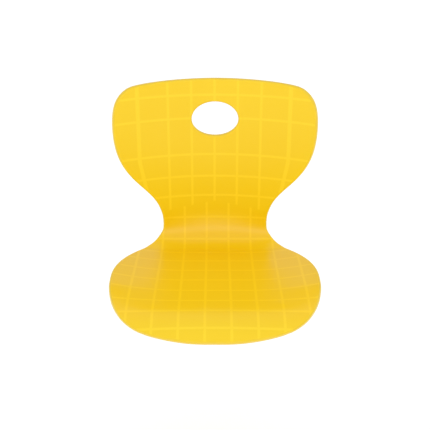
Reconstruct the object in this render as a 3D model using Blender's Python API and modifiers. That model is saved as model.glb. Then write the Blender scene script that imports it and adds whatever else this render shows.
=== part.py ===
"""Chair shell: seat and back in one sheet of moulded plywood, faced with laminate on both sides.

Frame: +X to the sitter's right as seen from the front, +Y to the rear, +Z up, metres.
The flat of the seat lies level, and the origin is on its underside, midway between the four tee nuts.

Every layer is the same sheet at its own depth below the sitting face. A point of the sheet has two
coordinates: across, its distance from the middle, and along, its distance up the centre line from the
front edge, over the seat and up the back.
"""
import bpy
import bmesh
from math import cos, pi, radians, sin, sqrt
from mathutils import Matrix, Vector

# ---------------------------------------------------------------- driving dimensions
# Centre line of the sitting face, from the front edge: (length, turn in degrees; + is upwards)
LIP_SLOPE = 39.5                   # degrees by which the front lip falls below the seat
CENTRE_LINE = [
    (0.016, 0.0),                  # front lip
    (0.069, -LIP_SLOPE),           # roll from the lip into the seat
    (0.264, 0.0),                  # flat of the seat
    (0.072, 78.0),                 # bend at the waist
    (0.034, 18.0),                 # the bend runs out
    (0.190, 0.0),                  # back
    (0.094, 0.0),                  # top of the back, where the outline turns
]
LENGTH = sum(length for length, turn in CENTRE_LINE)

# Outline of the right half, as points joined by Bezier curves:
# (across, along, heading in degrees from straight across, handle before, handle after)
OUTLINE = [
    (0.000, 0.0000, 0.0, 0.000, 0.019),      # middle of the front edge
    (0.107, 0.0144, 16.3, 0.057, 0.064),     # start of the front corner
    (0.198, 0.1982, 90.0, 0.111, 0.124),     # widest part of the seat
    (0.1105, 0.4124, 96.3, 0.016, 0.108),    # waist
    (0.200, 0.6495, 90.0, 0.144, 0.054),     # widest part of the back
    (0.169, 0.7272, 148.5, 0.020, 0.019),    # top corner
    (0.000, LENGTH, 180.0, 0.023, 0.000),    # middle of the top edge
]
FRONT_CORNER = 0.120               # across, where the front edge becomes the side
TOP_CORNER = 0.178                 # across, where the side becomes the top edge

# Hollow of the sheet across its width
SEAT_FLAT = 0.061                  # half the width of the seat's flat
SEAT_SIDE_RADIUS = 0.610           # the seat's sides rise on this radius
BACK_RADIUS = 0.438                # the back is hollow on this radius
LIP_CROWN_RADIUS = 1.070           # the lip's ends droop on this radius
SEAT_FROM, SEAT_WHOLE = 0.056, 0.160         # along, where the seat's rising sides begin and are whole
SEAT_FADE, SEAT_END = 0.366, 0.396           # where they fade and end, towards the waist
BACK_FROM, BACK_WHOLE = 0.394, 0.461         # where the back's hollow begins and is whole
LIP_FADE, LIP_END = 0.000, 0.100             # where the lip's crown fades and ends

# Layers, from the sitting face down
LAMINATE = 0.0008
VENEER = 0.0009
GLUE_GAP = 0.0003                  # left open between layers
PLIES = 7
THICKNESS = 2 * LAMINATE + PLIES * VENEER + (PLIES + 1) * GLUE_GAP

# Hand hole
HOLE_ALONG = 0.656
HOLE_HALF_WIDTH = 0.047
HOLE_HALF_HEIGHT = 0.036

# Tee nuts, M6
NUT_SPACING_X = 0.100
NUT_SPACING_Y = 0.160
FLANGE_RADIUS = 0.0095
FLANGE_THICKNESS = 0.0015
FLANGE_PLIES = 2                   # the flange is let into this many plies
BARREL_RADIUS = 0.0040
THREAD_RADIUS = 0.0025             # tapping size
SCREW_HOLE_RADIUS = 0.0035
CLEARANCE = 0.0003

# Mesh: columns across, and rows along for each run of the centre line
COLUMNS = 12
ROWS = [1, 4, 6, 8, 2, 5, 4]
SHORTEST_ROW = 0.010               # a row nearer than this to either end of the side is left out
HOLE_SEGMENTS = 28
NUT_SEGMENTS = 16

SEAT_START = CENTRE_LINE[0][0] + CENTRE_LINE[1][0]
SEAT_CENTRE = SEAT_START + CENTRE_LINE[2][0] / 2


# ---------------------------------------------------------------- the sheet's shape
def centre_line(along):
    """Height and depth of the centre line, and its slope in radians, before the shift to the origin."""
    y = z = 0.0
    slope = radians(LIP_SLOPE)
    left = along
    for number, (length, turn) in enumerate(CENTRE_LINE):
        last = number == len(CENTRE_LINE) - 1
        run = left if last else min(left, length)
        if turn:
            radius = length / radians(turn)
            end_slope = slope + run / radius
            y += radius * (sin(end_slope) - sin(slope))
            z += radius * (cos(slope) - cos(end_slope))
            slope = end_slope
        else:
            y += run * cos(slope)
            z += run * sin(slope)
        left -= run
        if left <= 0.0:
            break
    return y, z, slope


def rise(along, start, end):
    """0 before start and 1 after end, with a smooth rise between."""
    share = min(max((along - start) / (end - start), 0.0), 1.0)
    return share * share * (3.0 - 2.0 * share)


def hollow(across, along):
    """How far the sheet stands proud of its centre line, towards the sitter."""
    side = max(abs(across) - SEAT_FLAT, 0.0)
    seat = side * side / (2.0 * SEAT_SIDE_RADIUS)
    back = BACK_RADIUS - sqrt(BACK_RADIUS ** 2 - across ** 2)
    lip = across * across / (2.0 * LIP_CROWN_RADIUS)
    seat_share = rise(along, SEAT_FROM, SEAT_WHOLE) * (1.0 - rise(along, SEAT_FADE, SEAT_END))
    back_share = rise(along, BACK_FROM, BACK_WHOLE)
    lip_share = 1.0 - rise(along, LIP_FADE, LIP_END)
    return seat * seat_share + back * back_share - lip * lip_share


SEAT_Y, SEAT_Z, _ = centre_line(SEAT_CENTRE)


def face_point(across, along):
    """A point of the sitting face."""
    y, z, slope = centre_line(along)
    proud = hollow(across, along)
    return Vector((across, y - SEAT_Y - proud * sin(slope), z - SEAT_Z + THICKNESS + proud * cos(slope)))


def sheet_point(across, along, depth):
    """A point at a depth below the sitting face, measured square to it."""
    step = 0.0005
    side = face_point(across + step, along) - face_point(across - step, along)
    up = face_point(across, along + step) - face_point(across, max(along - step, 0.0))
    return face_point(across, along) - side.cross(up).normalized() * depth


# ---------------------------------------------------------------- the outline
def outline(position):
    """Point (across, along) of the right-hand outline.

    position runs from 0, the middle of the front edge, by 1 for each curve, to the middle of the top.
    """
    curve = min(int(position), len(OUTLINE) - 2)
    t = position - curve
    across_0, along_0, heading_0, _, handle_0 = OUTLINE[curve]
    across_3, along_3, heading_3, handle_3, _ = OUTLINE[curve + 1]
    start = Vector((across_0, along_0))
    end = Vector((across_3, along_3))
    near = start + handle_0 * Vector((cos(radians(heading_0)), sin(radians(heading_0))))
    far = end - handle_3 * Vector((cos(radians(heading_3)), sin(radians(heading_3))))
    return (1 - t) ** 3 * start + 3 * (1 - t) ** 2 * t * near + 3 * (1 - t) * t * t * far + t ** 3 * end


def find_on_outline(axis, value, low, high):
    """Position between low and high where the outline's coordinate on axis has a value."""
    rising = outline(high)[axis] > outline(low)[axis]
    for _ in range(40):
        middle = (low + high) / 2
        if (outline(middle)[axis] < value) == rising:
            low = middle
        else:
            high = middle
    return (low + high) / 2


WIDEST_SEAT, WIDEST_BACK = 2.0, 4.0
LAST = len(OUTLINE) - 1.0
FRONT_CORNER_AT = find_on_outline(0, FRONT_CORNER, 0.0, WIDEST_SEAT)
TOP_CORNER_AT = find_on_outline(0, TOP_CORNER, WIDEST_BACK, LAST)
SIDE_START = outline(FRONT_CORNER_AT).y
SIDE_END = outline(TOP_CORNER_AT).y


def row_positions():
    """Where the rows of the grid meet the side, as distances along: closer together in the bends."""
    stops = [0.0]
    for (length, _), rows in zip(CENTRE_LINE, ROWS):
        for _ in range(rows):
            stops.append(stops[-1] + length / rows)
    inner = [stop for stop in stops if SIDE_START + SHORTEST_ROW < stop < SIDE_END - SHORTEST_ROW]
    return [SIDE_START] + inner + [SIDE_END]


def blank_point(share_across, side_along):
    """Where a vertex of the grid lies on the flat sheet.

    share_across is -1 at the left side and 1 at the right; side_along is where its row meets the side.
    """
    share_along = (side_along - SIDE_START) / (SIDE_END - SIDE_START)
    share = abs(share_across)
    side_at = find_on_outline(1, side_along, FRONT_CORNER_AT, TOP_CORNER_AT)
    front_at = find_on_outline(0, share * FRONT_CORNER, 0.0, FRONT_CORNER_AT)
    top_at = find_on_outline(0, share * TOP_CORNER, TOP_CORNER_AT, LAST)
    front_bow = outline(front_at).y - SIDE_START
    top_bow = outline(top_at).y - SIDE_END
    across = share_across * outline(side_at).x
    return across, side_along + (1.0 - share_along) * front_bow + share_along * top_bow


# ---------------------------------------------------------------- building blocks
def clear_scene():
    for obj in list(bpy.data.objects):
        bpy.data.objects.remove(obj, do_unlink=True)


def new_collection(name):
    collection = bpy.data.collections.new(name)
    bpy.context.scene.collection.children.link(collection)
    return collection


def add_object(name, bm, collection):
    mesh = bpy.data.meshes.new(name)
    bm.to_mesh(mesh)
    bm.free()
    obj = bpy.data.objects.new(name, mesh)
    collection.objects.link(obj)
    return obj


def material(name, colour, roughness, metallic=0.0):
    mat = bpy.data.materials.new(name)
    mat.use_nodes = True
    shader = mat.node_tree.nodes["Principled BSDF"]
    shader.inputs["Base Color"].default_value = (*colour, 1.0)
    shader.inputs["Roughness"].default_value = roughness
    shader.inputs["Metallic"].default_value = metallic
    return mat


def as_cutter(obj):
    obj.hide_render = True
    obj.display_type = "WIRE"
    return obj


def cut(obj, cutter):
    boolean = obj.modifiers.new(cutter.name, "BOOLEAN")
    boolean.operation = "DIFFERENCE"
    boolean.solver = "EXACT"
    boolean.object = cutter


# ---------------------------------------------------------------- cutters
def hand_hole_cutter(collection):
    """An oval plug through the whole shell, square to the sheet all round."""
    bm = bmesh.new()
    bmesh.ops.create_cone(bm, cap_ends=True, segments=HOLE_SEGMENTS, radius1=1.0, radius2=1.0, depth=2.0)
    for vert in bm.verts:
        across = vert.co.x * HOLE_HALF_WIDTH
        along = HOLE_ALONG + vert.co.y * HOLE_HALF_HEIGHT
        vert.co = sheet_point(across, along, THICKNESS * (0.5 - vert.co.z))
    return as_cutter(add_object("hand_hole", bm, collection))


def nut_positions():
    for row, y in (("front", -NUT_SPACING_Y / 2), ("rear", NUT_SPACING_Y / 2)):
        for side, x in (("left", -NUT_SPACING_X / 2), ("right", NUT_SPACING_X / 2)):
            yield row + "_" + side, x, y


def nut_hole_cutter(name, radius, collection):
    """Four cylinders, one through each tee nut's place."""
    bm = bmesh.new()
    for _, x, y in nut_positions():
        bmesh.ops.create_cone(bm, cap_ends=True, segments=NUT_SEGMENTS, radius1=radius, radius2=radius,
                              depth=4 * THICKNESS, matrix=Matrix.Translation((x, y, THICKNESS / 2)))
    return as_cutter(add_object(name, bm, collection))


# ---------------------------------------------------------------- pieces
def sheet_layer(name, depth, thickness, mat, collection):
    """One layer of the shell: a grid bent to shape at its depth, then given its thickness."""
    rows = row_positions()
    bm = bmesh.new()
    bmesh.ops.create_grid(bm, x_segments=COLUMNS, y_segments=len(rows) - 1, size=1.0)
    for vert in bm.verts:
        row = round((vert.co.y + 1.0) / 2.0 * (len(rows) - 1))
        across, along = blank_point(vert.co.x, rows[row])
        vert.co = sheet_point(across, along, depth)
    bmesh.ops.triangulate(bm, faces=bm.faces[:], quad_method="FIXED")
    obj = add_object(name, bm, collection)
    obj.data.materials.append(mat)
    solidify = obj.modifiers.new("thickness", "SOLIDIFY")
    solidify.thickness = thickness
    solidify.offset = -1.0
    solidify.use_even_offset = True
    return obj


def tee_nut(name, x, y, mat, collection):
    """A flanged, tapped barrel, turned about its own axis. Its flange lies under the front laminate."""
    seat = THICKNESS - layer_depth(FLANGE_PLIES + 1) + GLUE_GAP
    top = seat + FLANGE_THICKNESS
    foot = LAMINATE + GLUE_GAP
    profile = [(THREAD_RADIUS, top), (FLANGE_RADIUS, top), (FLANGE_RADIUS, seat),
               (BARREL_RADIUS, seat), (BARREL_RADIUS, foot), (THREAD_RADIUS, foot)]
    bm = bmesh.new()
    verts = [bm.verts.new((radius, 0.0, height)) for radius, height in profile]
    for one, two in zip(verts, verts[1:] + verts[:1]):
        bm.edges.new((one, two))
    obj = add_object(name, bm, collection)
    obj.location = (x, y, 0.0)
    obj.data.materials.append(mat)
    screw = obj.modifiers.new("turned", "SCREW")
    screw.angle = 2 * pi
    screw.steps = screw.render_steps = NUT_SEGMENTS
    screw.use_merge_vertices = True
    screw.merge_threshold = 0.00001
    return obj


def layer_depth(layer):
    """Depth of the upper face of a ply, counted from 1. The rear laminate comes after the last ply."""
    return LAMINATE + GLUE_GAP + (layer - 1) * (VENEER + GLUE_GAP)


def main():
    clear_scene()
    shell = new_collection("chair_shell")
    cutters = new_collection("cutters")

    laminate = material("yellow_laminate", (0.93, 0.57, 0.02), 0.25)
    veneer = material("beech_veneer", (0.62, 0.45, 0.27), 0.55)
    zinc = material("zinc_steel", (0.60, 0.60, 0.62), 0.35, 1.0)

    flange_holes = nut_hole_cutter("flange_holes", FLANGE_RADIUS + CLEARANCE, cutters)
    barrel_holes = nut_hole_cutter("barrel_holes", BARREL_RADIUS + CLEARANCE, cutters)
    screw_holes = nut_hole_cutter("screw_holes", SCREW_HOLE_RADIUS, cutters)

    hand_hole = hand_hole_cutter(cutters)

    front = sheet_layer("front_laminate", 0.0, LAMINATE, laminate, shell)
    cut(front, hand_hole)
    for ply in range(1, PLIES + 1):
        layer = sheet_layer("core_ply_%d" % ply, layer_depth(ply), VENEER, veneer, shell)
        cut(layer, hand_hole)
        cut(layer, flange_holes if ply <= FLANGE_PLIES else barrel_holes)
    rear = sheet_layer("rear_laminate", layer_depth(PLIES + 1), LAMINATE, laminate, shell)
    cut(rear, hand_hole)
    cut(rear, screw_holes)

    for place, x, y in nut_positions():
        tee_nut("tee_nut_" + place, x, y, zinc, shell)


main()
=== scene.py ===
"""Looks of the moulded plywood chair shell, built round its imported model.

Every layer of the shell is the same sheet at its own depth below the sitting face. A point of the sheet
has two coordinates: across, its distance from the middle, and along, its distance up the centre line
from the front edge, over the seat and up the back. Metres throughout.
"""
from math import cos, pi, radians

import bpy
import numpy as np
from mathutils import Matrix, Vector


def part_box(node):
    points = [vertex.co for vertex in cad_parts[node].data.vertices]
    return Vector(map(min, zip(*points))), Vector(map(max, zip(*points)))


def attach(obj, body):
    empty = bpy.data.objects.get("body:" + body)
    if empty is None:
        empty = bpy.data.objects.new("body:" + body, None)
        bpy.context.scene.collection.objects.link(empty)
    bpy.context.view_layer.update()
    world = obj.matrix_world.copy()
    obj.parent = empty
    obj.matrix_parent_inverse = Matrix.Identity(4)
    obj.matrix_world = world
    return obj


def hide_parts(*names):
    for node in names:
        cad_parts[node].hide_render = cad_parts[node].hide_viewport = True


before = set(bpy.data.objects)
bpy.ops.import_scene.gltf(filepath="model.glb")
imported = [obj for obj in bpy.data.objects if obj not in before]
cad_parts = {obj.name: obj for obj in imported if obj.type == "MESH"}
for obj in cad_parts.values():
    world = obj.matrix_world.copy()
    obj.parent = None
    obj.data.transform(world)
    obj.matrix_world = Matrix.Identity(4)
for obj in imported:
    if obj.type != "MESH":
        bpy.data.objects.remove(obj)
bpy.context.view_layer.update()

# ---------------------------------------------------------------- the sheet, as in the CAD model
LIP_SLOPE = 39.5                   # degrees by which the front lip falls below the seat
CENTRE_LINE = [                    # (length, turn in degrees; + is upwards), from the front edge
    (0.016, 0.0),                  # front lip
    (0.069, -LIP_SLOPE),           # roll from the lip into the seat
    (0.264, 0.0),                  # flat of the seat
    (0.072, 78.0),                 # bend at the waist
    (0.034, 18.0),                 # the bend runs out
    (0.190, 0.0),                  # back
    (0.094, 0.0),                  # top of the back, where the outline turns
]
LENGTH = sum(length for length, turn in CENTRE_LINE)
SEAT_CENTRE = CENTRE_LINE[0][0] + CENTRE_LINE[1][0] + CENTRE_LINE[2][0] / 2

OUTLINE = np.array([               # (across, along, heading in degrees, handle before, handle after)
    (0.000, 0.0000, 0.0, 0.000, 0.019),      # middle of the front edge
    (0.107, 0.0144, 16.3, 0.057, 0.064),     # start of the front corner
    (0.198, 0.1982, 90.0, 0.111, 0.124),     # widest part of the seat
    (0.1105, 0.4124, 96.3, 0.016, 0.108),    # waist
    (0.200, 0.6495, 90.0, 0.144, 0.054),     # widest part of the back
    (0.169, 0.7272, 148.5, 0.020, 0.019),    # top corner
    (0.000, LENGTH, 180.0, 0.023, 0.000),    # middle of the top edge
])
WIDEST_SEAT, WIDEST_BACK = 2.0, 4.0          # positions on the outline, by 1 for each curve
FRONT_CORNER = 0.120               # across, where the front edge becomes the side
TOP_CORNER = 0.178                 # across, where the side becomes the top edge

SEAT_FLAT = 0.061                  # half the width of the seat's flat
SEAT_SIDE_RADIUS = 0.610
BACK_RADIUS = 0.438
LIP_CROWN_RADIUS = 1.070
SEAT_FROM, SEAT_WHOLE = 0.056, 0.160         # along, where the seat's rising sides begin and are whole
SEAT_FADE, SEAT_END = 0.366, 0.396           # where they fade and end, towards the waist
BACK_FROM, BACK_WHOLE = 0.394, 0.461         # where the back's hollow begins and is whole
LIP_FADE, LIP_END = 0.000, 0.100             # where the lip's crown fades and ends

THICKNESS = 0.0103
LAMINATE = 0.0008
PLIES = 7
RIM_RADIUS = 0.0025                # easing of both edges of the rim and of the hand hole

HAND_HOLE = (0.0, 0.656, 0.047, 0.036)     # across, along, half width, half height
NUT_SPACING_X = 0.100
NUT_SPACING_Y = 0.160
FLANGE_RADIUS = 0.0095
FLANGE_THICKNESS = 0.0015
FLANGE_PLIES = 2                   # the flange is let into this many plies
BARREL_RADIUS = 0.0040
SCREW_HOLE_RADIUS = 0.0035
CLEARANCE = 0.0003


def centre_line(along):
    """Arrays of y, z and slope of the centre line, before the shift to the origin."""
    y = np.zeros_like(along)
    z = np.zeros_like(along)
    slope = np.full_like(along, radians(LIP_SLOPE))
    start = 0.0
    for number, (length, turn) in enumerate(CENTRE_LINE):
        # The first segment runs on before the front edge, and the last beyond the top edge
        run = along - start
        if number > 0:
            run = np.maximum(run, 0.0)
        if number < len(CENTRE_LINE) - 1:
            run = np.minimum(run, length)
        if turn:
            radius = length / radians(turn)
            end_slope = slope + run / radius
            y += radius * (np.sin(end_slope) - np.sin(slope))
            z += radius * (np.cos(slope) - np.cos(end_slope))
            slope = end_slope
        else:
            y += run * np.cos(slope)
            z += run * np.sin(slope)
        start += length
    return y, z, slope


def rise(along, start, end):
    """0 before start and 1 after end, with a smooth rise between."""
    share = np.clip((along - start) / (end - start), 0.0, 1.0)
    return share * share * (3.0 - 2.0 * share)


def hollow(across, along):
    """How far the sheet stands proud of its centre line, towards the sitter."""
    side = np.maximum(np.abs(across) - SEAT_FLAT, 0.0)
    seat = side ** 2 / (2.0 * SEAT_SIDE_RADIUS)
    back = BACK_RADIUS - np.sqrt(BACK_RADIUS ** 2 - across ** 2)
    lip = across ** 2 / (2.0 * LIP_CROWN_RADIUS)
    seat_share = rise(along, SEAT_FROM, SEAT_WHOLE) * (1.0 - rise(along, SEAT_FADE, SEAT_END))
    back_share = rise(along, BACK_FROM, BACK_WHOLE)
    lip_share = 1.0 - rise(along, LIP_FADE, LIP_END)
    return seat * seat_share + back * back_share - lip * lip_share


SEAT_Y, SEAT_Z, _ = (float(value[0]) for value in centre_line(np.array([SEAT_CENTRE])))


def face_points(across, along):
    """Points of the sitting face."""
    y, z, slope = centre_line(along)
    proud = hollow(across, along)
    y = y - SEAT_Y - proud * np.sin(slope)
    z = z - SEAT_Z + THICKNESS + proud * np.cos(slope)
    return np.stack([across, y, z], axis=1)


def sheet_points(blank, depth):
    """Points at a depth below the sitting face, measured square to it. blank holds (across, along)."""
    across, along = blank[:, 0], blank[:, 1]
    step = 0.0005
    side = face_points(across + step, along) - face_points(across - step, along)
    up = face_points(across, along + step) - face_points(across, along - step)
    normal = np.cross(side, up)
    normal /= np.linalg.norm(normal, axis=1)[:, None]
    return face_points(across, along) - normal * np.reshape(depth, (-1, 1))


# ---------------------------------------------------------------- the outline
LAST = len(OUTLINE) - 1


def outline(position, inset):
    """Points of the right-hand outline, drawn in by inset. position runs from 0 by 1 for each curve."""
    position = np.atleast_1d(position)
    curve = np.minimum(position.astype(int), LAST - 1)
    t = (position - curve)[:, None]
    start, end = OUTLINE[curve], OUTLINE[curve + 1]
    leave, arrive = np.radians(start[:, 2]), np.radians(end[:, 2])
    near = start[:, :2] + start[:, 4:] * np.stack([np.cos(leave), np.sin(leave)], axis=1)
    far = end[:, :2] - end[:, 3:4] * np.stack([np.cos(arrive), np.sin(arrive)], axis=1)
    start, end = start[:, :2], end[:, :2]
    points = (1 - t) ** 3 * start + 3 * (1 - t) ** 2 * t * near + 3 * (1 - t) * t ** 2 * far + t ** 3 * end
    tangent = (1 - t) ** 2 * (near - start) + 2 * (1 - t) * t * (far - near) + t ** 2 * (end - far)
    tangent /= np.linalg.norm(tangent, axis=1)[:, None]
    inwards = np.stack([-tangent[:, 1], tangent[:, 0]], axis=1)
    return points + inwards * inset


OUTLINE_SAMPLES = 4000


def positions_at(axis, values, low, high, inset):
    """Positions between low and high where the outline's coordinate on axis has the values."""
    dense = np.linspace(low, high, OUTLINE_SAMPLES)
    found = outline(dense, inset)[:, axis]
    if found[0] > found[-1]:
        dense, found = dense[::-1], found[::-1]
    return np.interp(values, found, dense)


FRONT_CORNER_AT = positions_at(0, [FRONT_CORNER], 0.0, WIDEST_SEAT, 0.0)[0]
TOP_CORNER_AT = positions_at(0, [TOP_CORNER], WIDEST_BACK, LAST, 0.0)[0]

# ---------------------------------------------------------------- the grid on the flat sheet
COLUMNS = 48
FINE_ROW = 0.0042                  # spacing where the sheet bends
PLAIN_ROW = 0.0085                 # spacing elsewhere
BEND = 12.0                        # degrees: a segment that turns by more has the finer spacing


def row_positions(start, end):
    """Distances along at which rows meet the side, closer together in the bends."""
    stops = [0.0]
    for length, turn in CENTRE_LINE:
        rows = max(1, round(length / (FINE_ROW if abs(turn) > BEND else PLAIN_ROW)))
        stops += [stops[-1] + length * (row + 1) / rows for row in range(rows)]
    inner = [stop for stop in stops if start + FINE_ROW < stop < end - FINE_ROW]
    return np.array([start] + inner + [end])


def flat_grid():
    """Blank points of the grid inside the eased rim, and the outline position and side of its border."""
    start = outline(FRONT_CORNER_AT, RIM_RADIUS)[0]
    end = outline(TOP_CORNER_AT, RIM_RADIUS)[0]
    rows = row_positions(start[1], end[1])
    shares = np.linspace(-1.0, 1.0, COLUMNS + 1)
    side_at = positions_at(1, rows, FRONT_CORNER_AT, TOP_CORNER_AT, RIM_RADIUS)
    front_at = positions_at(0, np.abs(shares) * start[0], 0.0, FRONT_CORNER_AT, RIM_RADIUS)
    top_at = positions_at(0, np.abs(shares) * end[0], TOP_CORNER_AT, LAST, RIM_RADIUS)
    share_along = ((rows - start[1]) / (end[1] - start[1]))[:, None]
    across = outline(side_at, RIM_RADIUS)[:, 0][:, None] * shares[None, :]
    front_bow = (outline(front_at, RIM_RADIUS)[:, 1] - start[1])[None, :]
    top_bow = (outline(top_at, RIM_RADIUS)[:, 1] - end[1])[None, :]
    along = rows[:, None] + (1.0 - share_along) * front_bow + share_along * top_bow
    return np.stack([across, along], axis=2), side_at, front_at, top_at


GRID, SIDE_AT, FRONT_AT, TOP_AT = flat_grid()
ROWS = GRID.shape[0] - 1


def vertex(row, column):
    return row * (COLUMNS + 1) + column


def block_loop(low_row, high_row, low_column, high_column):
    """Vertices round a block of the grid, anticlockwise from its front left corner."""
    loop = [vertex(low_row, column) for column in range(low_column, high_column)]
    loop += [vertex(row, high_column) for row in range(low_row, high_row)]
    loop += [vertex(high_row, column) for column in range(high_column, low_column, -1)]
    loop += [vertex(row, low_column) for row in range(high_row, low_row, -1)]
    return loop


def border_points(inset):
    """The grid's border, anticlockwise from its front left corner, drawn in by inset."""
    sides = np.stack([np.sign(np.arange(COLUMNS + 1) - COLUMNS / 2), np.ones(COLUMNS + 1)], axis=1)
    front = outline(FRONT_AT, inset) * sides
    top = outline(TOP_AT, inset) * sides
    right = outline(SIDE_AT, inset)
    left = right * [-1.0, 1.0]
    return np.concatenate([front[:-1], right[:-1], top[:0:-1], left[:0:-1]])


class Hole:
    """An oval hole: where it is, its half sizes, and the block of the grid that its rings replace."""

    def __init__(self, across, along, half_width, half_height, margin, rings, eased):
        self.centre = np.array([across, along])
        self.half = np.array([half_width, half_height])
        self.rings = rings
        self.eased = eased
        row = int(np.argmin(np.abs(GRID[:, COLUMNS // 2, 1] - along)))
        reach = self.half + margin
        columns = np.nonzero(np.abs(GRID[row, :, 0] - across) < reach[0])[0]
        rows = np.nonzero(np.abs(GRID[:, columns[len(columns) // 2], 1] - along) < reach[1])[0]
        self.block = rows[0] - 1, rows[-1] + 1, columns[0] - 1, columns[-1] + 1
        self.loop = block_loop(*self.block)
        offset = (GRID.reshape(-1, 2)[self.loop] - self.centre) / self.half
        angle = np.arctan2(offset[:, 1], offset[:, 0])
        self.direction = np.stack([np.cos(angle), np.sin(angle)], axis=1)

    def covers(self, row, column):
        low_row, high_row, low_column, high_column = self.block
        return low_row <= row < high_row and low_column <= column < high_column

    def edge(self, inset):
        """Blank points of the hole's edge: the sheet's eased edge draws back from the hole by inset."""
        return self.centre + self.direction * (self.half + (inset if self.eased else 0.0))


# ---------------------------------------------------------------- solid layers
RIM_STEP = 9                       # degrees between two rings of the eased rim
CLOSEST_RINGS = 1e-5
SAME_PLACE = 1e-6                  # rings closer than this are one
LAYER_SHARP = 35.0                 # degrees from which an edge between faces stays sharp


def rim_inset(depth):
    """How far the eased rim lies inside the outline at a depth below the sitting face."""
    drop = max(RIM_RADIUS - min(depth, THICKNESS - depth), 0.0)
    return RIM_RADIUS - (RIM_RADIUS ** 2 - drop ** 2) ** 0.5


def rim_depths(top, bottom):
    """Depths at which the rim of a layer has a ring, from its top to its bottom."""
    eased = [RIM_RADIUS * (1.0 - cos(radians(angle))) for angle in range(0, 91, RIM_STEP)]
    stops = eased + [THICKNESS - depth for depth in eased]
    inner = sorted(depth for depth in stops if top + CLOSEST_RINGS < depth < bottom - CLOSEST_RINGS)
    return [top] + inner + [bottom]


def add_object(name, mesh, sharp):
    """A smooth object of a mesh, with its edges of more than sharp degrees left sharp."""
    mesh.shade_smooth()
    mesh.set_sharp_from_angle(angle=radians(sharp))
    obj = bpy.data.objects.new(name, mesh)
    bpy.context.scene.collection.objects.link(obj)
    return obj


class LayerMesh:
    """Vertices, faces and face data of one layer of the shell."""

    def __init__(self):
        self.blank = np.zeros((0, 2))
        self.depth = np.zeros(0)
        self.faces = []
        self.rim = []              # for each face: True on the rim
        self.run = []              # for each face: its corners' distance along the rim

    def add(self, blank, depth):
        first = len(self.depth)
        self.blank = np.concatenate([self.blank, blank])
        self.depth = np.concatenate([self.depth, np.full(len(blank), depth)])
        return first

    def quad(self, corners, rim=False, run=(0.0, 0.0, 0.0, 0.0), flip=False):
        self.faces.append(corners[::-1] if flip else corners)
        self.rim.append(rim)
        self.run.append(run[::-1] if flip else run)

    def band(self, one, two, run=None, flip=False):
        """Quads between two closed loops of vertices, two outside or below one."""
        count = len(one)
        for k in range(count):
            after = (k + 1) % count
            corners = (one[k], two[k], two[after], one[after])
            if run is None:
                self.quad(corners, flip=flip)
            else:
                self.quad(corners, True, (run[k], run[k], run[k + 1], run[k + 1]), flip)

    def face(self, depth, holes, flip):
        """The grid at a depth, with each hole's rings. Returns its border and the holes' innermost rings."""
        first = self.add(GRID.reshape(-1, 2), depth)
        for row in range(ROWS):
            for column in range(COLUMNS):
                if any(hole.covers(row, column) for hole in holes):
                    continue
                corners = (vertex(row, column), vertex(row, column + 1),
                           vertex(row + 1, column + 1), vertex(row + 1, column))
                self.quad(tuple(first + corner for corner in corners), flip=flip)
        edges = []
        for hole in holes:
            outer = [first + index for index in hole.loop]
            border = GRID.reshape(-1, 2)[hole.loop]
            target = hole.edge(RIM_RADIUS)
            for ring in range(1, hole.rings + 1):
                share = ring / hole.rings
                start = self.add(border + (target - border) * share, depth)
                inner = [start + k for k in range(len(outer))]
                self.band(inner, outer, flip=flip)
                outer = inner
            edges.append(outer)
        border = [first + index for index in block_loop(0, ROWS, 0, COLUMNS)]
        return border, edges

    def wall(self, above, below, points_at, top, bottom, inner):
        """The rim between the top and bottom faces, round the outline or, with inner, round a hole."""
        loop = above
        level = points_at(rim_inset(top))
        lengths = np.linalg.norm(np.roll(points_at(0.0), -1, axis=0) - points_at(0.0), axis=1)
        run = np.concatenate([[0.0], np.cumsum(lengths)])
        if np.abs(level - self.blank[above]).max() > SAME_PLACE:
            start = self.add(level, top)
            outer = [start + k for k in range(len(loop))]
            self.band(loop, outer, flip=inner)
            loop = outer
        for depth in rim_depths(top, bottom)[1:]:
            last = depth == bottom
            level = points_at(rim_inset(depth))
            if last and np.abs(level - self.blank[below]).max() < SAME_PLACE:
                self.band(loop, below, run, flip=inner)
                return
            start = self.add(level, depth)
            outer = [start + k for k in range(len(loop))]
            self.band(loop, outer, run, flip=inner)
            loop = outer
        self.band(loop, below, flip=inner)

    def build(self, name, materials):
        used = np.zeros(len(self.depth), dtype=bool)
        used[np.concatenate([np.array(face) for face in self.faces])] = True
        index = np.cumsum(used) - 1
        points = sheet_points(self.blank, self.depth)
        mesh = bpy.data.meshes.new(name)
        faces = [tuple(int(index[corner]) for corner in face) for face in self.faces]
        mesh.from_pydata([tuple(point) for point in points[used]], [], faces)
        sheet = mesh.uv_layers.new(name="sheet")
        corners = np.array(self.faces).reshape(-1)
        sheet.data.foreach_set("uv", self.blank[corners].astype(np.float32).reshape(-1))
        edge = mesh.uv_layers.new(name="edge")
        edge_uv = np.stack([np.array(self.run).reshape(-1), self.depth[corners]], axis=1)
        edge.data.foreach_set("uv", edge_uv.astype(np.float32).reshape(-1))
        for mat in materials:
            mesh.materials.append(mat)
        mesh.polygons.foreach_set("material_index", np.array(self.rim, dtype=np.int32))
        return add_object(name, mesh, LAYER_SHARP)


def layer(name, top, bottom, holes, materials):
    """One closed layer of the shell between two depths."""
    made = LayerMesh()
    above, edges_above = made.face(top, holes, flip=False)
    below, edges_below = made.face(bottom, holes, flip=True)
    made.wall(above, below, border_points, top, bottom, inner=False)
    for hole, edge_above, edge_below in zip(holes, edges_above, edges_below):
        made.wall(edge_above, edge_below, hole.edge, top, bottom, inner=True)
    return made.build(name, materials)


# ---------------------------------------------------------------- materials
MIX_ONE, MIX_TWO, MIX_RESULT = 6, 7, 2       # the colour sockets of a mix node


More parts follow.
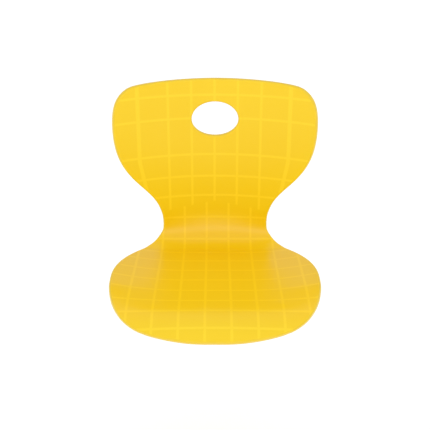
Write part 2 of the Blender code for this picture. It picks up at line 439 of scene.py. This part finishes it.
class Tree:
    """A material and short ways to add nodes to it."""

    def __init__(self, name):
        self.material = bpy.data.materials.new(name)
        self.material.use_nodes = True
        self.nodes = self.material.node_tree.nodes
        self.shader = self.nodes["Principled BSDF"]

    def link(self, value, socket):
        if isinstance(value, bpy.types.NodeSocket):
            self.material.node_tree.links.new(value, socket)
        else:
            socket.default_value = value

    def math(self, operation, one, two=0.0):
        node = self.nodes.new("ShaderNodeMath")
        node.operation = operation
        self.link(one, node.inputs[0])
        self.link(two, node.inputs[1])
        return node.outputs[0]

    def uv(self, name):
        """The two coordinates of a UV map."""
        node = self.nodes.new("ShaderNodeUVMap")
        node.uv_map = name
        split = self.nodes.new("ShaderNodeSeparateXYZ")
        self.link(node.outputs["UV"], split.inputs[0])
        return split.outputs[0], split.outputs[1]

    def stretched(self, x, x_scale, y, y_scale):
        """A flat place whose two coordinates are scaled each by its own factor."""
        node = self.nodes.new("ShaderNodeCombineXYZ")
        self.link(self.math("MULTIPLY", x, x_scale), node.inputs[0])
        self.link(self.math("MULTIPLY", y, y_scale), node.inputs[1])
        return node.outputs[0]

    def place(self):
        """The point's own place on the object, in metres."""
        return self.nodes.new("ShaderNodeTexCoord").outputs["Object"]

    def noise(self, vector, scale=1.0, detail=2.0, roughness=0.5):
        node = self.nodes.new("ShaderNodeTexNoise")
        self.link(vector, node.inputs["Vector"])
        node.inputs["Scale"].default_value = scale
        node.inputs["Detail"].default_value = detail
        node.inputs["Roughness"].default_value = roughness
        return node.outputs[0]

    def fade(self, value, low, high, at_low=0.0, at_high=1.0):
        """A smooth step from at_low to at_high as value goes from low to high."""
        node = self.nodes.new("ShaderNodeMapRange")
        node.interpolation_type = "SMOOTHSTEP"
        for number, source in enumerate((value, low, high, at_low, at_high)):
            self.link(source, node.inputs[number])
        return node.outputs[0]

    def mix(self, factor, one, two):
        node = self.nodes.new("ShaderNodeMix")
        node.data_type = "RGBA"
        self.link(factor, node.inputs["Factor"])
        for colour, socket in ((one, node.inputs[MIX_ONE]), (two, node.inputs[MIX_TWO])):
            self.link(colour if isinstance(colour, bpy.types.NodeSocket) else (*colour, 1.0), socket)
        return node.outputs[MIX_RESULT]

    def bump(self, height, distance, normal=None):
        node = self.nodes.new("ShaderNodeBump")
        self.link(height, node.inputs["Height"])
        node.inputs["Strength"].default_value = 1.0
        node.inputs["Distance"].default_value = distance
        if normal is not None:
            self.link(normal, node.inputs["Normal"])
        return node.outputs[0]

    def set(self, **values):
        for name, value in values.items():
            self.link(value, self.shader.inputs[name.replace("_", " ")])


def nearest(tree, coordinate, positions):
    """Distance from a coordinate to the nearest of some positions."""
    found = None
    for position in positions:
        gap = tree.math("ABSOLUTE", tree.math("SUBTRACT", coordinate, position))
        found = gap if found is None else tree.math("MINIMUM", found, gap)
    return found


CELL = 0.0466                      # pitch of the printed check
LINE = 0.0046                      # width of its lines
WIDE_LINE = 0.0074                 # width of the outermost upright lines on the back
LINE_BLUR = 0.0014                 # half the width over which a line's edge fades
BACK_OFFSET, SEAT_OFFSET = -0.0009, -0.0177
BACK_UPRIGHTS = [BACK_OFFSET + CELL * number for number in range(-2, 3)]
SEAT_UPRIGHTS = [SEAT_OFFSET + CELL * number for number in range(-3, 5)]
BACK_EDGE_MIDDLE = -0.0020         # across: midway between the two outermost uprights of the back
BACK_EDGE_REACH = 0.1510           # from there to each of them
BACK_EDGE_TAPER = 0.18             # how steeply they lean in below BACK_EDGE_BEND
BACK_EDGE_BEND = 0.573
# Along: the level lines of each check
BACK_ROWS = [0.4888, 0.5324, 0.5806, 0.6582, 0.7066]
SEAT_ROWS = [0.0283, 0.0700, 0.1086, 0.1530, 0.2011, 0.2488, 0.2979, 0.3440, 0.3900, 0.4385]
SWITCH_ALONG = 0.475               # where the two checks meet in the middle
SWITCH_FALL = 0.17                 # and how steeply that falls towards the sides
SWITCH_BLUR = 0.002


def printed_check(tree):
    """1 on the lines of the printed check and 0 between them."""
    across, along = tree.uv("sheet")

    def lines(gap, width):
        return tree.fade(gap, width / 2 - LINE_BLUR, width / 2 + LINE_BLUR, 1.0, 0.0)

    side = tree.math("ABSOLUTE", tree.math("SUBTRACT", across, BACK_EDGE_MIDDLE))
    below = tree.math("MAXIMUM", tree.math("SUBTRACT", BACK_EDGE_BEND, along), 0.0)
    leant = tree.math("ADD", side, tree.math("MULTIPLY", below, BACK_EDGE_TAPER))
    edges = lines(tree.math("ABSOLUTE", tree.math("SUBTRACT", leant, BACK_EDGE_REACH)), WIDE_LINE)
    back = tree.math("MAXIMUM", lines(nearest(tree, across, BACK_UPRIGHTS), LINE), edges)
    back = tree.math("MAXIMUM", back, lines(nearest(tree, along, BACK_ROWS), LINE))
    seat = tree.math("MAXIMUM", lines(nearest(tree, across, SEAT_UPRIGHTS), LINE),
                     lines(nearest(tree, along, SEAT_ROWS), LINE))
    switch = tree.math("ADD", along, tree.math("MULTIPLY", tree.math("ABSOLUTE", across), SWITCH_FALL))
    on_back = tree.fade(switch, SWITCH_ALONG - SWITCH_BLUR, SWITCH_ALONG + SWITCH_BLUR)
    return tree.math("ADD", tree.math("MULTIPLY", back, on_back),
                     tree.math("MULTIPLY", seat, tree.math("SUBTRACT", 1.0, on_back)))


YELLOW = (0.848, 0.578, 0.0042)
YELLOW_LIGHT = (0.930, 0.658, 0.015)         # the printed lines
YELLOW_LINES_SEAT_PAINTED_SHADE = (0.950, 0.636, 0.011)    # and the same lines on the seat, in the seat's painted shade
YELLOW_CLOUD = (0.840, 0.567, 0.0033)        # faint clouds in the back and the lip
YELLOW_SEAT_PAINTED_SHADE = (0.866, 0.551, 0.0033)         # painted shade: the seat is a deeper, more orange yellow than the back and the lip, standing in for the yellow light that the back bounces onto it
SEAT_PAINTED_SHADE = (0.020, 0.085, 0.400, 0.470)     # along: where the seat's painted shade begins, is whole, fades and ends

# How fine each noise is, in features to the metre, and how deep each relief, in metres
CLOUD_FINENESS = 7.0
INK_FINENESS = 420.0
WEAR_FINENESS = 14.0
WAVE_FINENESS, WAVE_DEPTH = 18.0, 0.00003              # the laminate isn't perfectly flat
CRYSTAL_FINENESS, CRYSTAL_DEPTH = 900.0, 0.000005      # nor perfectly smooth
LACQUER_FINENESS, LACQUER_DEPTH = 180.0, 0.00008
PORE_FINENESS = 1800.0             # of the cut edge's grain, through the thickness
GRAIN_FINENESS = 900.0             # of the veneer, across its grain
GRAIN_LENGTH = 25.0                # and along it
FIGURE_DEPTH = 0.00006
ZINC_FINENESS, ZINC_DEPTH = 700.0, 0.00001

GRAIN_SHADE = 0.86                 # of the lacquer's colour, where the grain shows through it
BEECH_LIGHT = (0.66, 0.47, 0.29)
BEECH_DARK = (0.50, 0.33, 0.19)
ZINC_LIGHT = (0.62, 0.63, 0.64)
ZINC_DARK = (0.50, 0.51, 0.53)


def laminate_material():
    """Printed decorative laminate with a fine crystal texture, and painted shade on the seat."""
    tree = Tree("yellow_laminate")
    place = tree.place()
    along = tree.uv("sheet")[1]
    # The seat's painted shade: its ground and its printed lines turn a deeper, more orange yellow, for the
    # light that the back bounces onto it
    begin, whole, fade, end = SEAT_PAINTED_SHADE
    seat = tree.math("MULTIPLY", tree.fade(along, begin, whole), tree.fade(along, fade, end, 1.0, 0.0))
    cloud = tree.fade(tree.noise(place, CLOUD_FINENESS, detail=3.0), 0.35, 0.65)
    ground = tree.mix(seat, tree.mix(cloud, YELLOW, YELLOW_CLOUD), YELLOW_SEAT_PAINTED_SHADE)
    ink = tree.fade(tree.noise(place, INK_FINENESS, detail=3.0), 0.30, 0.60, 0.45, 0.70)
    light = tree.mix(seat, YELLOW_LIGHT, YELLOW_LINES_SEAT_PAINTED_SHADE)
    colour = tree.mix(tree.math("MULTIPLY", printed_check(tree), ink), ground, light)
    wear = tree.noise(place, WEAR_FINENESS, detail=1.0)
    normal = tree.bump(tree.noise(place, WAVE_FINENESS, detail=0.0), WAVE_DEPTH)
    normal = tree.bump(tree.noise(place, CRYSTAL_FINENESS, detail=1.0), CRYSTAL_DEPTH, normal)
    tree.set(Base_Color=colour, Roughness=tree.fade(wear, 0.3, 0.7, 0.31, 0.35), IOR=1.43, Normal=normal)
    return tree.material


def edge_material(name, fineness, shade):
    """Yellow lacquer over the cut edge of one layer: its grain and pores still show."""
    tree = Tree(name)
    run, depth = tree.uv("edge")
    grain = tree.noise(tree.stretched(run, fineness, depth, PORE_FINENESS), detail=4.0, roughness=0.6)
    light = tuple(value * shade for value in YELLOW)
    dark = tuple(value * GRAIN_SHADE for value in light)
    colour = tree.mix(tree.fade(grain, 0.35, 0.7), light, dark)
    brush = tree.noise(tree.place(), LACQUER_FINENESS)
    normal = tree.bump(grain, LACQUER_DEPTH)
    tree.set(Base_Color=colour, Roughness=tree.fade(brush, 0.3, 0.7, 0.30, 0.42), IOR=1.5, Normal=normal)
    return tree.material


def veneer_material(name, along_grain, tone):
    """Bare beech veneer, its grain running up the sheet or across it."""
    tree = Tree(name)
    across, along = tree.uv("sheet")
    if along_grain:
        grain = tree.stretched(across, GRAIN_FINENESS, along, GRAIN_LENGTH)
    else:
        grain = tree.stretched(across, GRAIN_LENGTH, along, GRAIN_FINENESS)
    figure = tree.noise(grain, detail=5.0, roughness=0.62)
    light = tuple(value * tone for value in BEECH_LIGHT)
    dark = tuple(value * tone for value in BEECH_DARK)
    colour = tree.mix(tree.fade(figure, 0.35, 0.65), light, dark)
    tree.set(Base_Color=colour, Roughness=0.6, Normal=tree.bump(figure, FIGURE_DEPTH))
    return tree.material


def zinc_material():
    """Zinc plated steel, slightly mottled."""
    tree = Tree("zinc_steel")
    mottle = tree.noise(tree.place(), ZINC_FINENESS, detail=3.0)
    colour = tree.mix(tree.fade(mottle, 0.3, 0.7), ZINC_LIGHT, ZINC_DARK)
    tree.set(Base_Color=colour, Metallic=1.0, Roughness=tree.fade(mottle, 0.3, 0.7, 0.28, 0.42),
             Normal=tree.bump(mottle, ZINC_DEPTH))
    return tree.material


# ---------------------------------------------------------------- pieces
HAND_HOLE_MARGIN, HAND_HOLE_RINGS = 0.013, 6      # how far round a hole the grid gives way to rings
NUT_HOLE_MARGIN, NUT_HOLE_RINGS = 0.016, 4
LAMINATE_EDGE = (30.0, 1.0)        # fineness of the grain along a cut edge, and its shade
LONG_GRAIN_EDGE = (60.0, 0.99)
END_GRAIN_EDGE = (900.0, 0.95)
CROSS_TONE = 0.94                  # the plies with their grain across are a little darker


def nut_positions():
    for row, y in (("front", -NUT_SPACING_Y / 2), ("rear", NUT_SPACING_Y / 2)):
        for side, x in (("left", -NUT_SPACING_X / 2), ("right", NUT_SPACING_X / 2)):
            yield row + "_" + side, x, y


def hand_hole():
    return Hole(*HAND_HOLE, HAND_HOLE_MARGIN, HAND_HOLE_RINGS, eased=True)


def nut_holes(radius):
    return [Hole(x, SEAT_CENTRE + y, radius, radius, NUT_HOLE_MARGIN, NUT_HOLE_RINGS, eased=False)
            for _, x, y in nut_positions()]


def shell_layers():
    laminate = laminate_material()
    laminate_edge = edge_material("laminate_edge_lacquer", *LAMINATE_EDGE)
    ply_edges = [edge_material("long_grain_edge_lacquer", *LONG_GRAIN_EDGE),
                 edge_material("end_grain_edge_lacquer", *END_GRAIN_EDGE)]
    veneers = [veneer_material("veneer_up", True, 1.0), veneer_material("veneer_across", False, CROSS_TONE)]

    front = layer("front_laminate_sheet", 0.0, LAMINATE, [hand_hole()], [laminate, laminate_edge])
    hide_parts("front_laminate")
    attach(front, "root")

    veneer = (THICKNESS - 2 * LAMINATE) / PLIES
    for ply in range(1, PLIES + 1):
        top = LAMINATE + (ply - 1) * veneer
        radius = (FLANGE_RADIUS if ply <= FLANGE_PLIES else BARREL_RADIUS) + CLEARANCE
        kind = ply % 2
        sheet = layer("veneer_%d" % ply, top, top + veneer, [hand_hole()] + nut_holes(radius),
                      [veneers[kind], ply_edges[kind]])
        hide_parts("core_ply_%d" % ply)
        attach(sheet, "root")

    rear = layer("rear_laminate_sheet", THICKNESS - LAMINATE, THICKNESS,
                 [hand_hole()] + nut_holes(SCREW_HOLE_RADIUS), [laminate, laminate_edge])
    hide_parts("rear_laminate")
    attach(rear, "root")


BARREL_WALL = 0.0010               # from the roots of the thread to the outside of the barrel
THREAD_DEPTH = 0.0005
THREAD_PITCH = 0.0010
THREAD_RINGS = 8                   # for each turn of the thread
LEAD = 0.0004                      # chamfer at both ends of the thread
FLANGE_EASING = 0.0004
FILLET = 0.8 * CLEARANCE           # between the barrel and the flange
NUT_SEGMENTS = 48                  # round the nut
NUT_SHARP = 40.0                   # degrees from which an edge between faces stays sharp


def section_arc(radius_at, height_at, size, turns):
    """Rings along an arc of the section about a centre, at turns in degrees from straight outwards."""
    return [(radius_at + size * np.cos(turn), height_at + size * np.sin(turn), 0.0)
            for turn in np.radians(turns)]


def nut_profile(foot, top):
    """Rings of a tee nut, once round its section: (radius, height, 1.0 on the thread)."""
    bore = BARREL_RADIUS - BARREL_WALL
    seat = top - FLANGE_THICKNESS
    eased = FLANGE_RADIUS - FLANGE_EASING
    count = round((top - foot - 2 * LEAD) / THREAD_PITCH * THREAD_RINGS)
    heights = np.linspace(foot + LEAD, top - LEAD, count + 1)
    rings = [(bore + LEAD / 2, foot, 0.0)]
    rings += [(bore, height, 1.0) for height in heights]
    rings += [(bore + LEAD / 2, top, 0.0)]
    rings += section_arc(eased, top - FLANGE_EASING, FLANGE_EASING, [90, 60, 30, 0])
    rings += section_arc(eased, seat + FLANGE_EASING, FLANGE_EASING, [0, -30, -60, -90])
    rings += section_arc(BARREL_RADIUS + FILLET, seat - FILLET, FILLET, [90, 120, 150, 180])
    rings += [(BARREL_RADIUS, foot + LEAD / 2, 0.0), (BARREL_RADIUS - LEAD / 2, foot, 0.0)]
    return np.array(rings)


def nut_piece(name, x, y, foot, top, zinc):
    """A flanged barrel with an M6 thread cut in its bore."""
    rings = nut_profile(foot, top)
    angle = np.arange(NUT_SEGMENTS) * 2 * pi / NUT_SEGMENTS
    turn = (rings[:, 1:2] / THREAD_PITCH - angle / (2 * pi)) % 1.0
    radius = rings[:, :1] - rings[:, 2:] * THREAD_DEPTH * (1.0 - np.abs(2.0 * turn - 1.0))
    height = np.broadcast_to(rings[:, 1:2], radius.shape)
    points = np.stack([x + radius * np.cos(angle), y + radius * np.sin(angle), height], axis=2).reshape(-1, 3)
    faces = []
    for ring in range(len(rings)):
        above = (ring + 1) % len(rings)
        for k in range(NUT_SEGMENTS):
            after = (k + 1) % NUT_SEGMENTS
            faces.append((ring * NUT_SEGMENTS + k, above * NUT_SEGMENTS + k,
                          above * NUT_SEGMENTS + after, ring * NUT_SEGMENTS + after))
    mesh = bpy.data.meshes.new(name)
    mesh.from_pydata([tuple(point) for point in points], [], faces)
    mesh.materials.append(zinc)
    return add_object(name, mesh, NUT_SHARP)


def tee_nuts():
    zinc = zinc_material()
    for place, x, y in nut_positions():
        node = "tee_nut_" + place
        low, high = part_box(node)
        nut = nut_piece("threaded_nut_" + place, x, y, low[2], high[2], zinc)
        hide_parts(node)
        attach(nut, "root")


# ---------------------------------------------------------------- stage, light and camera
WHITE = (1.0, 1.0, 1.0, 1.0)
FLOOR = -0.43                      # the shell is shown at the height at which a frame holds it
FLOOR_SIZE = 60.0
FLOOR_GREY = 0.9
FLOOR_GLOW = 0.22                  # makes the floor as white as the room behind it
FLAG_PLACE = (0.0, 3.0, 1.65)
FLAG_SIZE = (7.0, 2.4)             # width, height
FLAG_GREY = 0.56
ROOM_STRENGTH = 1.0
SOFTBOX_PLACE = (0.0, -4.2, 1.6)
SOFTBOX_TILT = 70.0                # degrees up from facing straight down
SOFTBOX_SIZE = (3.0, 2.0)
SOFTBOX_POWER = 27.0
CAMERA_PLACE = (0.0, -1.4205, 0.6231)
CAMERA_DIP = 18.9                  # degrees below the level
SENSOR_WIDTH = 36.0                # mm
LENS = 66.558                      # mm, focal length
NEAR, FAR = 0.05, 200.0            # clipping distances


def matt(name, grey, glow=0.0):
    """A matt grey that may glow white."""
    tree = Tree(name)
    tree.set(Base_Color=(grey, grey, grey, 1.0), Roughness=1.0, Specular_IOR_Level=0.0,
             Emission_Color=WHITE, Emission_Strength=glow)
    return tree.material


def flat_piece(name, place, tilt, size, looks):
    """A flat rectangle of the set, facing up where its tilt in degrees is 0."""
    bpy.ops.mesh.primitive_plane_add(size=1.0, location=place, rotation=(radians(tilt), 0.0, 0.0))
    piece = bpy.context.object
    piece.name = name
    piece.scale = (*size, 1.0)
    piece.data.materials.append(looks)
    return piece


def stage():
    white = matt("white_floor", FLOOR_GREY, FLOOR_GLOW)
    floor = flat_piece("floor", (0.0, 0.0, FLOOR), 0.0, (FLOOR_SIZE, FLOOR_SIZE), white)

    # A grey flag behind the shell, out of the view, keeps the seat from mirroring a white wall
    flag = flat_piece("grey_flag", FLAG_PLACE, 90.0, FLAG_SIZE, matt("grey_cloth", FLAG_GREY))
    flag.visible_camera = False


def light():
    world = bpy.data.worlds.new("white_room")
    bpy.context.scene.world = world
    world.use_nodes = True
    background = world.node_tree.nodes["Background"]
    background.inputs["Color"].default_value = WHITE
    background.inputs["Strength"].default_value = ROOM_STRENGTH
    data = bpy.data.lights.new("front_softbox", "AREA")
    data.shape = "RECTANGLE"
    data.size = SOFTBOX_SIZE[0]
    data.size_y = SOFTBOX_SIZE[1]
    data.energy = SOFTBOX_POWER
    box = bpy.data.objects.new("front_softbox", data)
    box.location = SOFTBOX_PLACE
    box.rotation_euler = (radians(SOFTBOX_TILT), 0.0, 0.0)
    bpy.context.scene.collection.objects.link(box)


def camera():
    data = bpy.data.cameras.new("camera")
    data.lens = LENS
    data.sensor_width = SENSOR_WIDTH
    data.clip_start = NEAR
    data.clip_end = FAR
    obj = bpy.data.objects.new("camera", data)
    obj.location = CAMERA_PLACE
    obj.rotation_euler = (radians(90.0 - CAMERA_DIP), 0.0, 0.0)
    bpy.context.scene.collection.objects.link(obj)
    bpy.context.scene.camera = obj


shell_layers()
tee_nuts()
stage()
light()
camera()
bpy.context.scene.view_settings.view_transform = "Standard"
